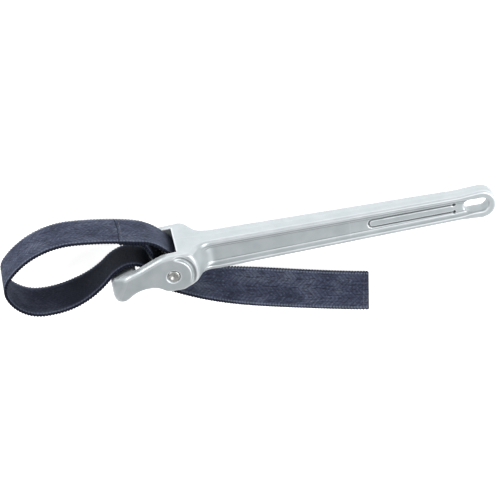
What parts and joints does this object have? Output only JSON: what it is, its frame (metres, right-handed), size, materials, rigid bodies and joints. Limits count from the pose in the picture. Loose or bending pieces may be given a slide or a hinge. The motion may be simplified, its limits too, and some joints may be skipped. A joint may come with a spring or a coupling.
{
  "type": "strap wrench",
  "caption": "Strap wrench: a cast handle with a forked head, and a webbing strap that loops round a pipe and runs back through the fork.",
  "frame": {"origin": "on the rivet's axis, at the outer face of the lower cheek, which is the face the wrench lies on", "axes": "+X along the handle, from the rivet towards the hanging slot; +Y across the handle in the plane of the strap's loop, towards the side where the sewn eye leaves the head; +Z along the rivet and across the strap's width, up from the lower cheek"},
  "size_m": [0.3828, 0.1248, 0.048],
  "materials": {
    "cast_alloy": "satin",
    "rivet_steel": "satin",
    "webbing": "woven",
    "thread": "matte"
  },
  "bodies": {
    "handle": {"handle_casting": "cast_alloy", "strap_rivet": "rivet_steel", "strap_throat": "webbing"},
    "sling": {"strap_eye": "webbing", "eye_stitching": "thread", "strap_loop": "webbing"},
    "tail": {"strap_tail": "webbing", "tail_stitching": "thread"}
  },
  "joints": [
    {"name": "strap_swing", "type": "hinge", "parent": "handle", "child": "sling", "pos_m": [0, 0, 0.024], "axis": [0, 0, -1], "range_deg": [0, 12]},
    {"name": "strap_pull", "type": "slide", "parent": "handle", "child": "tail", "axis": [0.9431, -0.3325, 0], "range_m": [0, 0.06]}
  ]
}
